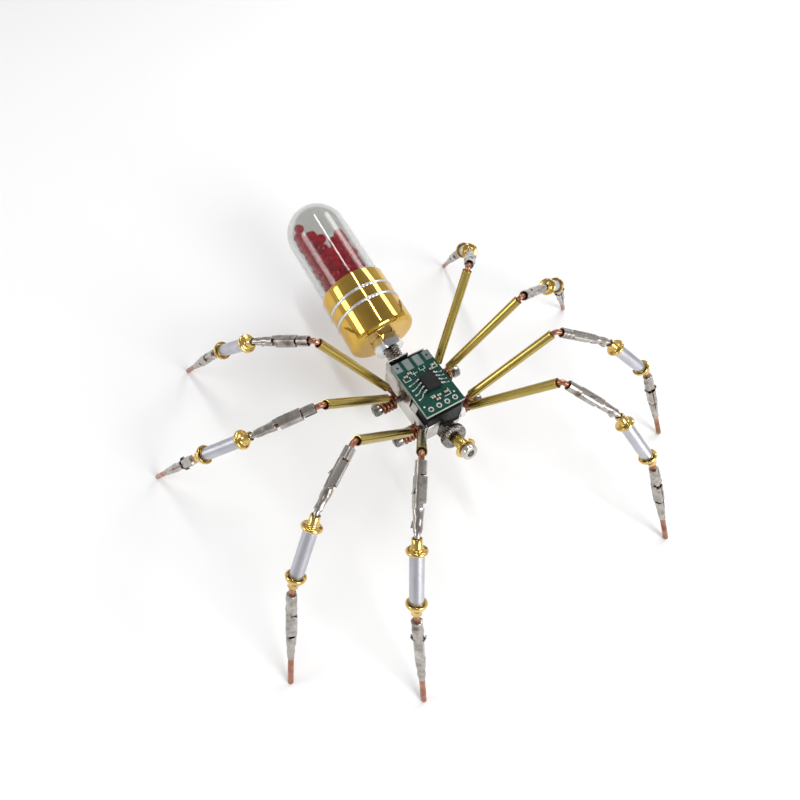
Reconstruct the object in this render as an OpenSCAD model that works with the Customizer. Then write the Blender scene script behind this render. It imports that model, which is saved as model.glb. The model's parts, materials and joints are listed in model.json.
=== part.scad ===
// Wire-jointed spider sculpture: eight posable legs on a connector-shell thorax,
// a domed vial abdomen filled with beads, and a short nut-and-sleeve head.
// +X is forward (head), +Y is the spider's left, +Z is up, and z = 0 is the table.

/* [Thorax] */
// Length of the sheet-metal connector shell
shell_l = 20.6; // [20:0.1:22]
// Width of the shell
shell_w = 12; // [11:0.1:12]
// Height of the shell's side walls
shell_h = 10.6; // [9.5:0.1:11]
// Thickness of the shell's sheet metal
sheet_t = 0.5; // [0.3:0.05:0.6]
// Length of the circuit board
board_l = 18; // [16:0.5:19]
// Width of the circuit board
board_w = 12; // [11:0.1:12.5]
// Thickness of the circuit board
board_t = 1; // [0.8:0.1:1.6]
// Height of the board's top face above the table
board_top_z = 26; // [25:0.1:28]

/* [Cross bolts] */
// Radius of the two threaded cross rods
rod_r = 1; // [0.8:0.05:1.1]
// Height of the rods above the table
rod_z = 17; // [16.8:0.1:17.2]
// Distance from the middle of the thorax to a rod's end
rod_reach = 14.4; // [14:0.1:15]

/* [Abdomen] */
// Outer diameter of the polished cap
cap_d = 20.4; // [20:0.1:22]
// Length of the cap
cap_l = 18.6; // [17:0.1:20]
// Outer diameter of the glass dome
glass_d = 18.9; // [18:0.1:18.9]
// Wall thickness of the glass
glass_t = 1.6; // [1:0.1:1.8]
// Length from the cap's rim to the centre of the dome's round end
glass_l = 21.6; // [18:0.1:24]
// Upward tilt of the abdomen's axis, in degrees
abdomen_tilt = 10; // [4:1:12]
// Diameter of one bead
bead_d = 2.4; // [1.8:0.1:2.4]

/* [Head] */
// Upward tilt of the head's axis, in degrees
head_tilt = 18; // [10:1:24]
// Diameter of the knurled ring
ring_d = 7.4; // [6.5:0.1:8]

/* [Legs] */
// Outer diameter of a brass femur tube
tube_d = 2.4; // [2.3:0.05:2.6]
// Bore of a femur tube
tube_bore = 1.8; // [1.7:0.05:1.9]
// Length of a femur tube
tube_l = 27.5; // [24:0.5:32]
// Distance from the knee bend to the first ankle bend
tibia_l = 17; // [16:0.5:20]
// Diameter of an aluminium spacer
spacer_d = 3.2; // [2.9:0.05:3.4]
// Length of an aluminium spacer
spacer_l = 11.5; // [10:0.5:14]
// Distance from the second ankle bend to the middle of the round foot tip
foot_l = 29.8; // [28:0.1:34]
// Diameter of the copper armature wire
wire_d = 1.4; // [1.3:0.05:1.4]

/* [Hidden] */
$fn = 48;

// How each leg is bent, seen from the thorax outwards. Azimuths are degrees from straight
// ahead round to that leg's own side, and lifts are degrees above the horizontal.
// [side, hip x, hip y, hip z, femur azimuth, lift, tibia azimuth, lift,
//  shank azimuth, lift, foot azimuth]; the foot's own slope brings its tip to the table.
l1 = [1, 9.4, 8.2, 20.2, 39, 51, 41, -22, 26, -38, 18];
l2 = [1, 6.8, 9.8, 20.4, 77, 48, 64, -19, 51, -35, 40];
l3 = [1, -3.6, 9.8, 20.4, 81, 54, 106, -28, 110, -37, 104];
l4 = [1, -6.2, 8.2, 20.4, 126, 61, 135, -31, 146, -42, 153];
r1 = [-1, 9.9, -7.6, 20.2, 42, 54, 35, -15, 28, -45, 16];
r2 = [-1, 8.1, -9.8, 20.2, 78, 47, 57, -10, 54, -44, 36];
r3 = [-1, -3.6, -9.6, 20.2, 80, 43, 101, -16, 118, -36, 139];
r4 = [-1, -6.2, -8, 20.4, 116, 51, 135, -21, 145, -43, 154];
left_legs = [l1, l2, l3, l4];
right_legs = [r1, r2, r3, r4];

// The thorax stands ahead of the origin, so that the spider's box is centred on it
ahead = [2.5, 0, 0];
// Clear room kept between flat faces that only touch in the real object
slip = 0.05;
wire_r = wire_d / 2;
// A wire bends about a small round knuckle just outside each tube mouth
knuckle_r = wire_r + 0.05;
hip_gap = 0.8;
knee_gap = 1.2;
ankle_gap = 0.5;

board_z = board_top_z - board_t;
pad_t = 1.4;
shell_top = board_z - pad_t;
shell_z = shell_top - shell_h;
shell_front = 9.8;
shell_back = shell_front - shell_l;
front_rod_x = 7.2;
rear_rod_x = -3.5;
coil_r = rod_r + wire_r + slip;

stud_r = 2.4;
stud_z = 18.2;
stud_l = 10.7;
stud_root = 3;
stud_in_cap = 1.5;
nut_t = 4;
nut_af = 8;
glass_depth = 6;
ring_seat = [9.2, 13.2];
ring_w = 1;
ring_depth = 0.35;

head_z = 17.2;
head_screw_r = 1.2;
head_l = 10.4;
head_root = 1;
flange_t = 0.5;
eyelet_in = 2.9;
eyelet_out = 2.1;

// Unit vector along an azimuth on one side and a lift
function aim(side, az, lift) = [cos(lift) * cos(az), side * cos(lift) * sin(az), sin(lift)];
function hip(leg) = ahead + [leg[1], leg[2], leg[3]];
function knee(leg) = hip(leg) + (hip_gap + tube_l + knee_gap) * aim(leg[0], leg[4], leg[5]);
function ankle(leg) = knee(leg) + tibia_l * aim(leg[0], leg[6], leg[7]);
shank_l = ankle_gap + eyelet_in + flange_t + spacer_l + flange_t + eyelet_out + ankle_gap;
function heel(leg) = ankle(leg) + shank_l * aim(leg[0], leg[8], leg[9]);
function foot_lift(leg) = -asin((heel(leg)[2] - wire_r) / foot_l);

// Places a child that runs along +Z at a point, along an azimuth and lift
module along(point, side, az, lift) {
    translate(point)
        rotate([0, 90 - lift, side * az])
            children();
}

// Places a child at a point measured from below the middle of the board
module on_thorax(point) {
    translate(ahead + point)
        children();
}

// Places a child that runs along +Z on the abdomen's axis, from the shell's rear wall
module on_abdomen_axis(distance) {
    translate(ahead + [shell_back, 0, stud_z])
        rotate([0, abdomen_tilt - 90, 0])
            translate([0, 0, distance])
                children();
}

// Places a child that runs along +Z on the head's axis, from the shell's front wall
module on_head_axis(distance) {
    translate(ahead + [shell_front, 0, head_z])
        rotate([0, 90 - head_tilt, 0])
            translate([0, 0, distance])
                children();
}

// Places a child that runs along +Z on a cross rod, pointing to one side
module on_rod(x, side, distance) {
    translate(ahead + [x, 0, rod_z])
        rotate([-side * 90, 0, 0])
            translate([0, 0, distance])
                children();
}

module ring(outer_r, inner_r, h) {
    difference() {
        cylinder(r = outer_r, h = h);
        translate([0, 0, -1])
            cylinder(r = inner_r, h = h + 2);
    }
}

module hex_nut(across_flats, bore_r, h) {
    difference() {
        cylinder(d = across_flats / cos(30), h = h, $fn = 6);
        translate([0, 0, -1])
            cylinder(r = bore_r, h = h + 2);
    }
}

// A closed turn of wire
module wire_turn(turn_r) {
    rotate_extrude()
        translate([turn_r, 0])
            circle(r = wire_r);
}

// A straight piece of wire between two points
module wire_between(a, b) {
    d = b - a;
    translate(a)
        rotate([0, acos(d[2] / norm(d)), atan2(d[1], d[0])])
            cylinder(r = wire_r, h = norm(d));
}

module rod_holes(r) {
    for (x = [front_rod_x, rear_rod_x])
        on_rod(x, 1, -shell_w)
            cylinder(r = r, h = 2 * shell_w);
}

module thorax_shell() {
    window_h = 3.2;
    slot_x = [-8, 1.4];
    slot = [0.8, 2 * shell_w, 2.4];
    slot_lift = 2;
    color("silver")
    difference() {
        on_thorax([shell_back, -shell_w / 2, shell_z])
            cube([shell_l, shell_w, shell_h]);
        on_thorax([shell_back + sheet_t, -shell_w / 2 + sheet_t, shell_z + sheet_t])
            cube([shell_l - 2 * sheet_t, shell_w - 2 * sheet_t, shell_h]);
        // the front wall is cut low, and its left side is open
        on_thorax([shell_front - 2 * sheet_t, -shell_w / 2 + sheet_t, shell_top - window_h])
            cube([3 * sheet_t, shell_w, window_h + 1]);
        // slots pressed in the side walls
        for (x = slot_x)
            on_thorax([x, -shell_w, shell_z + slot_lift])
                cube(slot);
        rod_holes(rod_r + 0.2);
        on_abdomen_axis(-2)
            cylinder(r = stud_r + 0.2, h = 4);
        on_head_axis(-2)
            cylinder(r = head_screw_r + 0.4, h = 4);
    }
}

module thorax_block() {
    color("black")
    difference() {
        on_thorax([shell_back + sheet_t + slip, -shell_w / 2 + sheet_t + slip, shell_z + sheet_t + slip])
            cube([
                shell_l - 2 * sheet_t - 2 * slip,
                shell_w - 2 * sheet_t - 2 * slip,
                shell_h - sheet_t - 2 * slip
            ]);
        rod_holes(rod_r + slip);
        on_abdomen_axis(-stud_root - slip)
            cylinder(r = stud_r + slip, h = 5);
        on_head_axis(-head_root - slip)
            cylinder(r = head_screw_r + slip, h = 5);
    }
}

module board_pad() {
    pad_l = 16.4;
    pad_w = 10.4;
    color("dimgray")
        on_thorax([-pad_l / 2, -pad_w / 2, shell_top])
            cube([pad_l, pad_w, pad_t]);
}

module circuit_board() {
    hole_r = 0.5;
    pitch = 2.54;
    corner_hole_r = 0.35;
    corner_hole_y = 4.7;
    hole_in = 1.5;
    color("darkgreen")
    difference() {
        on_thorax([-board_l / 2, -board_w / 2, board_z])
            cube([board_l, board_w, board_t]);
        for (i = [-1.5:1:1.5])
            on_thorax([board_l / 2 - hole_in, i * pitch, board_z - 1])
                cylinder(r = hole_r, h = board_t + 2);
        for (side = [-1, 1])
            on_thorax([-board_l / 2 + hole_in, side * corner_hole_y, board_z - 1])
                cylinder(r = corner_hole_r, h = board_t + 2);
    }
}

module board_chip() {
    body = [5, 4.6, 1.4];
    middle = [0.4, 0.5];
    standoff = 0.1;
    leads = 4;
    lead_pitch = 1.27;
    lead = [0.4, 6.4, 0.3];
    color("black")
    union() {
        on_thorax([middle[0] - body[0] / 2, middle[1] - body[1] / 2, board_top_z + standoff])
            cube(body);
        for (i = [0:leads - 1])
            on_thorax([
                middle[0] - lead[0] / 2 + (i - (leads - 1) / 2) * lead_pitch,
                middle[1] - lead[1] / 2,
                board_top_z
            ])
                cube(lead);
    }
}

// Small chip resistors and capacitors, behind and ahead of the chip
module board_parts() {
    part = [0.6, 1.1, 0.5];
    places = [[-4.6, 3.6], [-3.4, 3.6], [-4.9, -3.4], [-3.7, -3.4], [4.6, 0.2], [4.6, 1.8], [4.6, -1.4]];
    color("tan")
    for (p = places)
        on_thorax([p[0], p[1], board_top_z])
            cube(part);
}

module cross_rods() {
    color("gray")
    for (x = [front_rod_x, rear_rod_x])
        on_rod(x, 1, -rod_reach)
            cylinder(r = rod_r, h = 2 * rod_reach);
}

// Hex nuts on the left, and a round socket nut on each end of both rods
module rod_nuts() {
    hex_af = 5;
    hex_t = 1.6;
    end_nut_r = 1.75;
    end_nut_t = 2.1;
    thread_proud = 0.3;
    color("lightgray")
    for (x = [front_rod_x, rear_rod_x]) {
        on_rod(x, 1, shell_w / 2)
            hex_nut(hex_af, rod_r + slip, hex_t);
        for (side = [-1, 1])
            on_rod(x, side, rod_reach - end_nut_t - thread_proud)
                ring(end_nut_r, rod_r + slip, end_nut_t);
    }
}

// Wire turns round the rods, with a short lead up to each hip's knuckle
module hip_wires() {
    turns_l = [8.8, 10.3];
    turns_r = [7, 8.5, 10];
    color("chocolate")
    union() {
        for (x = [front_rod_x, rear_rod_x]) {
            for (y = turns_l)
                on_rod(x, 1, y)
                    wire_turn(coil_r);
            for (y = turns_r)
                on_rod(x, -1, y)
                    wire_turn(coil_r);
        }
        for (legs = [[left_legs, turns_l], [right_legs, turns_r]])
            for (i = [0:3]) {
                leg = legs[0][i];
                rod_x = i < 2 ? front_rod_x : rear_rod_x;
                // the outer leg of each pair comes off the outer turn
                turn = abs(leg[2]) > 9 ? legs[1][len(legs[1]) - 1] : legs[1][0];
                top = ahead + [rod_x, leg[0] * turn, rod_z + coil_r];
                wire_between(top, hip(leg));
                translate(hip(leg))
                    sphere(r = knuckle_r);
            }
    }
}

module abdomen_stud() {
    color("dimgray")
        on_abdomen_axis(-stud_root)
            cylinder(r = stud_r, h = stud_root + stud_l + stud_in_cap);
}

module abdomen_nut() {
    color("silver")
        on_abdomen_axis(stud_l - nut_t)
            hex_nut(nut_af, stud_r + slip, nut_t - slip);
}

// A turned cup: rounded foot, two ring grooves, and a bored seat for the glass
module abdomen_cap() {
    round_r = 1.2;
    cap_r = cap_d / 2;
    seat_z = cap_l - glass_depth;
    wall = 2;
    floor_t = 1.5;
    color("goldenrod")
    on_abdomen_axis(stud_l)
        difference() {
            rotate_extrude()
                union() {
                    square([cap_r - round_r, cap_l]);
                    translate([0, round_r])
                        square([cap_r, cap_l - round_r]);
                    translate([cap_r - round_r, round_r])
                        circle(r = round_r);
                }
            translate([0, 0, seat_z])
                cylinder(r = glass_d / 2 + slip, h = glass_depth + 1);
            // hollow below the seat, with a small hole up through the seat's floor
            translate([0, 0, wall])
                cylinder(r = cap_r - wall, h = seat_z - floor_t - wall);
            cylinder(r = 1, h = cap_l);
            translate([0, 0, -1])
                cylinder(r = stud_r + slip, h = wall + 2);
            for (z = ring_seat)
                translate([0, 0, z - ring_w / 2])
                    ring(cap_r + 1, cap_r - ring_depth, ring_w);
        }
}

module cap_rings() {
    cap_r = cap_d / 2;
    color("silver")
    on_abdomen_axis(stud_l)
        for (z = ring_seat)
            translate([0, 0, z - ring_w / 2 + slip])
                ring(cap_r + 0.1, cap_r - ring_depth + slip, ring_w - 2 * slip);
}

// Half outline of the dome's glass, from the axis outwards
module dome_outline(r, bottom) {
    intersection() {
        union() {
            translate([0, bottom])
                square([r, glass_l + glass_depth - bottom]);
            translate([0, glass_l + glass_depth])
                circle(r = r);
        }
        translate([0, bottom])
            square([2 * r, glass_l + glass_depth + r]);
    }
}

module glass_dome() {
    color("lightblue", 0.4)
    on_abdomen_axis(stud_l + cap_l - glass_depth + slip)
        rotate_extrude()
            difference() {
                dome_outline(glass_d / 2, 0);
                dome_outline(glass_d / 2 - glass_t, -1);
            }
}

// Rings of beads near the glass and round a core, layer on layer; the pile stands
// higher on the spider's right
module beads() {
    outer_r = glass_d / 2 - glass_t - bead_d / 2 - 0.15;
    outer_n = 16;
    inner_r = outer_r - bead_d - 0.1;
    inner_n = 9;
    layers = 12;
    layer = bead_d + slip;
    first = stud_l + cap_l - glass_depth + bead_d / 2 + slip;
    outer_top = 9.6;
    inner_top = 10.6;
    slope = 1.8;
    color("crimson")
    on_abdomen_axis(first)
        for (k = [0:layers - 1])
            translate([0, 0, k * layer]) {
                for (i = [0:outer_n - 1])
                    if (k < outer_top - slope * sin(i * 360 / outer_n))
                        bead_at((i + (k % 2) / 2) * 360 / outer_n, outer_r);
                for (i = [0:inner_n - 1])
                    if (k < inner_top - slope * sin(i * 360 / inner_n))
                        bead_at((i + (k % 2) / 2) * 360 / inner_n, inner_r);
            }
}

module bead_at(angle, radius) {
    rotate([0, 0, angle])
        translate([radius, 0, 0])
            sphere(d = bead_d - slip);
}

module head_screw() {
    socket_r = 0.9;
    socket_t = 1.4;
    knob_r = 2.2;
    knob_t = 2;
    color("gray")
    on_head_axis(-head_root)
        difference() {
            union() {
                cylinder(r = head_screw_r, h = head_root + head_l);
                translate([0, 0, head_root + head_l])
                    cylinder(r = knob_r, h = knob_t);
            }
            translate([0, 0, head_root + head_l + knob_t - socket_t])
                cylinder(r = socket_r, h = socket_t + 1);
        }
}

module head_nut() {
    color("silver")
        on_head_axis(1.1)
            hex_nut(5.5, head_screw_r + slip, 2.1);
}

module head_knurled_ring() {
    teeth = 24;
    groove_r = 0.3;
    ring_t = 2.4;
    color("dimgray")
    on_head_axis(3.3)
        difference() {
            ring(ring_d / 2, head_screw_r + slip, ring_t);
            for (i = [0:teeth - 1])
                rotate([0, 0, i * 360 / teeth])
                    translate([ring_d / 2 + 0.1, 0, -1])
                        cylinder(r = groove_r, h = ring_t + 2);
        }
}

module head_sleeve() {
    color("goldenrod")
        on_head_axis(5.75)
            hex_nut(3, head_screw_r + slip, 3.7);
}

module head_flange() {
    color("goldenrod")
        on_head_axis(9.5)
            ring(3, head_screw_r + slip, 0.85);
}

module femur_tube(leg) {
    color("darkgoldenrod")
        along(hip(leg), leg[0], leg[4], leg[5])
            translate([0, 0, hip_gap])
                ring(tube_d / 2, tube_bore / 2, tube_l);
}

// A crimp terminal on its wire: round wire barrel, waist and box-shaped contact,
// with a knuckle of bare wire at both ends
module tibia_terminal(leg) {
    barrel_r = 1.3;
    barrel_from = 1.7;
    barrel_to = 6.4;
    waist_r = 1.05;
    box_w = 2.4;
    box_h = 2.7;
    box_from = 8;
    box_to = tibia_l - 1.6;
    color("silver")
    along(knee(leg), leg[0], leg[6], leg[7])
        union() {
            sphere(r = knuckle_r);
            cylinder(r = wire_r, h = tibia_l);
            translate([0, 0, barrel_from])
                cylinder(r = barrel_r, h = barrel_to - barrel_from);
            translate([0, 0, barrel_to - 0.5])
                cylinder(r = waist_r, h = box_from - barrel_to + 1);
            translate([-box_w / 2, -box_h / 2, box_from])
                cube([box_w, box_h, box_to - box_from]);
            translate([0, 0, tibia_l])
                sphere(r = knuckle_r);
        }
}

module spacer(leg) {
    spacer_bore = 1.15;
    color("gainsboro")
        along(ankle(leg), leg[0], leg[8], leg[9])
            translate([0, 0, ankle_gap + eyelet_in + flange_t])
                ring(spacer_d / 2, spacer_bore, spacer_l);
}

// Two brass eyelets: a barrel outside the spacer, a flange on its end and a tail in its bore
module eyelets(leg) {
    eyelet_r = 1.15;
    bore = 0.85;
    tail_r = 1.1;
    tail_l = 2;
    flange_r = 2.35;
    flare_from = 0.6;
    color("gold")
    along(ankle(leg), leg[0], leg[8], leg[9]) {
        translate([0, 0, ankle_gap])
            difference() {
                union() {
                    cylinder(r = eyelet_r, h = eyelet_in);
                    translate([0, 0, eyelet_in])
                        cylinder(r = flange_r, h = flange_t);
                    cylinder(r = tail_r, h = eyelet_in + flange_t + tail_l);
                }
                translate([0, 0, -1])
                    cylinder(r = bore, h = eyelet_in + flange_t + tail_l + 2);
            }
        translate([0, 0, shank_l - ankle_gap])
            mirror([0, 0, 1])
                difference() {
                    union() {
                        cylinder(r = eyelet_r, h = eyelet_out);
                        // the outer eyelet flares like a funnel
                        translate([0, 0, flare_from])
                            cylinder(r1 = eyelet_r, r2 = flange_r, h = eyelet_out - flare_from);
                        translate([0, 0, eyelet_out])
                            cylinder(r = flange_r, h = flange_t);
                        cylinder(r = tail_r, h = eyelet_out + flange_t + tail_l);
                    }
                    translate([0, 0, -1])
                        cylinder(r = bore, h = eyelet_out + flange_t + tail_l + 2);
                }
    }
}

// A second crimp terminal, tapering to the bare copper tip that the spider stands on
module foot_terminal(leg) {
    barrel_r = 1.3;
    barrel_from = 1.4;
    barrel_to = 7.4;
    box_w = 2.2;
    box_h = 2.5;
    box_from = 7;
    box_to = 14.5;
    nose_r = 1.05;
    nose_to = 21.5;
    color("silver")
    along(heel(leg), leg[0], leg[10], foot_lift(leg))
        union() {
            sphere(r = knuckle_r);
            cylinder(r = wire_r, h = foot_l);
            translate([0, 0, barrel_from])
                cylinder(r = barrel_r, h = barrel_to - barrel_from);
            translate([-box_w / 2, -box_h / 2, box_from])
                cube([box_w, box_h, box_to - box_from]);
            translate([0, 0, box_to - 0.3])
                cylinder(r = nose_r, h = nose_to - box_to + 0.3);
            translate([0, 0, foot_l])
                sphere(r = wire_r);
        }
}

thorax_shell();
thorax_block();
board_pad();
circuit_board();
board_chip();
board_parts();
cross_rods();
rod_nuts();
hip_wires();
abdomen_stud();
abdomen_nut();
abdomen_cap();
cap_rings();
glass_dome();
beads();
head_screw();
head_nut();
head_knurled_ring();
head_sleeve();
head_flange();
femur_tube(l1);  // femur_tube_l1
femur_tube(l2);  // femur_tube_l2
femur_tube(l3);  // femur_tube_l3
femur_tube(l4);  // femur_tube_l4
femur_tube(r1);  // femur_tube_r1
femur_tube(r2);  // femur_tube_r2
femur_tube(r3);  // femur_tube_r3
femur_tube(r4);  // femur_tube_r4
tibia_terminal(l1);  // tibia_terminal_l1
tibia_terminal(l2);  // tibia_terminal_l2
tibia_terminal(l3);  // tibia_terminal_l3
tibia_terminal(l4);  // tibia_terminal_l4
tibia_terminal(r1);  // tibia_terminal_r1
tibia_terminal(r2);  // tibia_terminal_r2
tibia_terminal(r3);  // tibia_terminal_r3
tibia_terminal(r4);  // tibia_terminal_r4
spacer(l1);  // spacer_l1
spacer(l2);  // spacer_l2
spacer(l3);  // spacer_l3
spacer(l4);  // spacer_l4
spacer(r1);  // spacer_r1
spacer(r2);  // spacer_r2
spacer(r3);  // spacer_r3
spacer(r4);  // spacer_r4
eyelets(l1);  // eyelets_l1
eyelets(l2);  // eyelets_l2
eyelets(l3);  // eyelets_l3
eyelets(l4);  // eyelets_l4
eyelets(r1);  // eyelets_r1
eyelets(r2);  // eyelets_r2
eyelets(r3);  // eyelets_r3
eyelets(r4);  // eyelets_r4
foot_terminal(l1);  // foot_terminal_l1
foot_terminal(l2);  // foot_terminal_l2
foot_terminal(l3);  // foot_terminal_l3
foot_terminal(l4);  // foot_terminal_l4
foot_terminal(r1);  // foot_terminal_r1
foot_terminal(r2);  // foot_terminal_r2
foot_terminal(r3);  // foot_terminal_r3
foot_terminal(r4);  // foot_terminal_r4
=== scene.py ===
"""A wire-jointed spider sculpture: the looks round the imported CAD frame."""
import json
import math
import random

import bmesh
import bpy
from mathutils import Matrix, Vector


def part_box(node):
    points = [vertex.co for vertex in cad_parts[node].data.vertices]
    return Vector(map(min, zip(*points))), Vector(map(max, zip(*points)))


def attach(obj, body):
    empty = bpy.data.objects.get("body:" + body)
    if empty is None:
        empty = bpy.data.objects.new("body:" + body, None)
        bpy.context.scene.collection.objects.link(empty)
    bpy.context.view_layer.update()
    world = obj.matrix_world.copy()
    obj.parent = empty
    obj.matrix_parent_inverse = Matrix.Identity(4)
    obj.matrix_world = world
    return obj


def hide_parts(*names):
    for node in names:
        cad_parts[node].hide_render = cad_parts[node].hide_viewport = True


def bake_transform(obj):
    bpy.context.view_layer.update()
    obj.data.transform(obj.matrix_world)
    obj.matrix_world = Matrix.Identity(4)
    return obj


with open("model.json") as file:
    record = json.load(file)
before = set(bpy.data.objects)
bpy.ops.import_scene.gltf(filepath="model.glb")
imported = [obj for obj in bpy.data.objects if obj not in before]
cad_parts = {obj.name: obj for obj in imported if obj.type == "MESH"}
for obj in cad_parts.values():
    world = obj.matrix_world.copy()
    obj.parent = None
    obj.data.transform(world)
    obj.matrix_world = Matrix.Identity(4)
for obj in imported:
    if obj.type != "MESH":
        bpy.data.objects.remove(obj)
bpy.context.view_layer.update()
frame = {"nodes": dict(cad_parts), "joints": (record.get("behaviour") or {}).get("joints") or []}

MM = 0.001
BODY = "body"
LEGS = ["l1", "l2", "l3", "l4", "r1", "r2", "r3", "r4"]
JOINTS = {j["name"]: j for j in frame["joints"]}
# The sides of a turned piece, where its own call doesn't say
ROUND = 40


# ---- node materials

# The scales of the noise textures, in cycles a metre, and how deep their finest bump goes
METAL_BLOTCH = 180.0
METAL_GRAIN = 2600.0
PLASTIC_STAIN = 400.0
PLASTIC_GRAIN = 1500.0
LAMINATE_FIBRE = 900.0
GLASS_SMEAR = 120.0
BEAD_PATCH = 330.0
FLOOR_TINT = 3.0
GRAIN_DEPTH = 0.00002
SMEAR_DEPTH = 0.00005
# Nearly all of a noise texture's values lie between these two
NOISE_LOW = 0.3
NOISE_HIGH = 0.7


def new_material(name):
    """A material with an empty node tree but for its output and a Principled BSDF."""
    material = bpy.data.materials.new(name)
    material.use_nodes = True
    tree = material.node_tree
    shader = next(n for n in tree.nodes if n.type == "BSDF_PRINCIPLED")
    return material, tree, shader


def noise(tree, scale, detail=4.0, rough=0.6, distortion=0.0, stretch=None):
    """A noise texture in object space, stretched along one axis if asked."""
    coords = tree.nodes.new("ShaderNodeTexCoord")
    mapping = tree.nodes.new("ShaderNodeMapping")
    if stretch:
        mapping.inputs["Scale"].default_value = stretch
    node = tree.nodes.new("ShaderNodeTexNoise")
    node.inputs["Scale"].default_value = scale
    node.inputs["Detail"].default_value = detail
    node.inputs["Roughness"].default_value = rough
    node.inputs["Distortion"].default_value = distortion
    tree.links.new(coords.outputs["Object"], mapping.inputs["Vector"])
    tree.links.new(mapping.outputs["Vector"], node.inputs["Vector"])
    return node


def ramp(tree, source, stops):
    """A colour ramp: stops are (place, colour)."""
    node = tree.nodes.new("ShaderNodeValToRGB")
    elements = node.color_ramp.elements
    while len(elements) < len(stops):
        elements.new(0.5)
    for element, (place, colour) in zip(elements, stops):
        element.position = place
        element.color = (*colour, 1.0)
    tree.links.new(source, node.inputs["Fac"])
    return node


def grey_range(tree, source, low, high):
    """Maps a noise value onto a range, for roughness."""
    node = tree.nodes.new("ShaderNodeMapRange")
    node.inputs["From Min"].default_value = NOISE_LOW
    node.inputs["From Max"].default_value = NOISE_HIGH
    node.inputs["To Min"].default_value = low
    node.inputs["To Max"].default_value = high
    tree.links.new(source, node.inputs["Value"])
    return node


def bump(tree, shader, source, strength, distance):
    """Raises a material's skin by a noise value."""
    node = tree.nodes.new("ShaderNodeBump")
    node.inputs["Strength"].default_value = strength
    node.inputs["Distance"].default_value = distance
    tree.links.new(source, node.inputs["Height"])
    tree.links.new(node.outputs["Normal"], shader.inputs["Normal"])


def metal(name, stops, rough, blotch=METAL_BLOTCH, bump_strength=0.06):
    """Bare or plated metal: colour drifts in soft blotches, and a fine grain breaks up its gloss."""
    material, tree, shader = new_material(name)
    shader.inputs["Metallic"].default_value = 1.0
    stain = noise(tree, blotch, detail=6.0, rough=0.55, distortion=0.6)
    colour = ramp(tree, stain.outputs["Fac"], stops)
    tree.links.new(colour.outputs["Color"], shader.inputs["Base Color"])
    gloss = grey_range(tree, stain.outputs["Fac"], rough[1], rough[0])
    tree.links.new(gloss.outputs["Result"], shader.inputs["Roughness"])
    fine = noise(tree, METAL_GRAIN, detail=6.0, rough=0.7)
    bump(tree, shader, fine.outputs["Fac"], bump_strength, GRAIN_DEPTH)
    return material


def plastic(name, stops, rough, bump_strength=0.2, shine=0.5):
    """Moulded plastic, ceramic or printing ink with a fine skin."""
    material, tree, shader = new_material(name)
    shader.inputs["Specular IOR Level"].default_value = shine
    stain = noise(tree, PLASTIC_STAIN, detail=3.0)
    colour = ramp(tree, stain.outputs["Fac"], stops)
    tree.links.new(colour.outputs["Color"], shader.inputs["Base Color"])
    fine = noise(tree, PLASTIC_GRAIN, detail=4.0)
    gloss = grey_range(tree, fine.outputs["Fac"], rough[0], rough[1])
    tree.links.new(gloss.outputs["Result"], shader.inputs["Roughness"])
    bump(tree, shader, fine.outputs["Fac"], bump_strength, GRAIN_DEPTH)
    return material


def board_material(top):
    """Green solder mask on the board's top face, and bare laminate round its edges."""
    mask_depth = 0.04 * MM
    material, tree, shader = new_material("green_board")
    shader.inputs["Specular IOR Level"].default_value = 0.25
    stain = noise(tree, PLASTIC_STAIN, detail=3.0)
    mask = ramp(tree, stain.outputs["Fac"], [
        (NOISE_LOW, (0.001, 0.034, 0.022)), (NOISE_HIGH, (0.002, 0.062, 0.040))])
    fibre = noise(tree, LAMINATE_FIBRE, stretch=(1.0, 1.0, 6.0))
    edge = ramp(tree, fibre.outputs["Fac"], [
        (NOISE_LOW, (0.28, 0.34, 0.29)), (NOISE_HIGH, (0.48, 0.54, 0.46))])
    coords = tree.nodes.new("ShaderNodeTexCoord")
    height = tree.nodes.new("ShaderNodeSeparateXYZ")
    above = tree.nodes.new("ShaderNodeMath")
    above.operation = "GREATER_THAN"
    above.inputs[1].default_value = top - mask_depth
    mix = tree.nodes.new("ShaderNodeMix")
    mix.data_type = "RGBA"
    tree.links.new(coords.outputs["Object"], height.inputs["Vector"])
    tree.links.new(height.outputs["Z"], above.inputs[0])
    tree.links.new(above.outputs["Value"], mix.inputs["Factor"])
    tree.links.new(edge.outputs["Color"], mix.inputs["A"])
    tree.links.new(mask.outputs["Color"], mix.inputs["B"])
    tree.links.new(mix.outputs["Result"], shader.inputs["Base Color"])
    fine = noise(tree, PLASTIC_GRAIN)
    gloss = grey_range(tree, fine.outputs["Fac"], 0.24, 0.4)
    tree.links.new(gloss.outputs["Result"], shader.inputs["Roughness"])
    bump(tree, shader, fine.outputs["Fac"], 0.15, GRAIN_DEPTH)
    return material


def clear(name, tint, rough, ior):
    """Clear glass with the faintest wipe marks in its gloss."""
    material, tree, shader = new_material(name)
    shader.inputs["Base Color"].default_value = (*tint, 1.0)
    shader.inputs["Transmission Weight"].default_value = 1.0
    shader.inputs["IOR"].default_value = ior
    smear = noise(tree, GLASS_SMEAR, detail=5.0, distortion=1.2)
    gloss = grey_range(tree, smear.outputs["Fac"], rough[0], rough[1])
    tree.links.new(gloss.outputs["Result"], shader.inputs["Roughness"])
    bump(tree, shader, smear.outputs["Fac"], 0.02, SMEAR_DEPTH)
    return material


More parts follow.
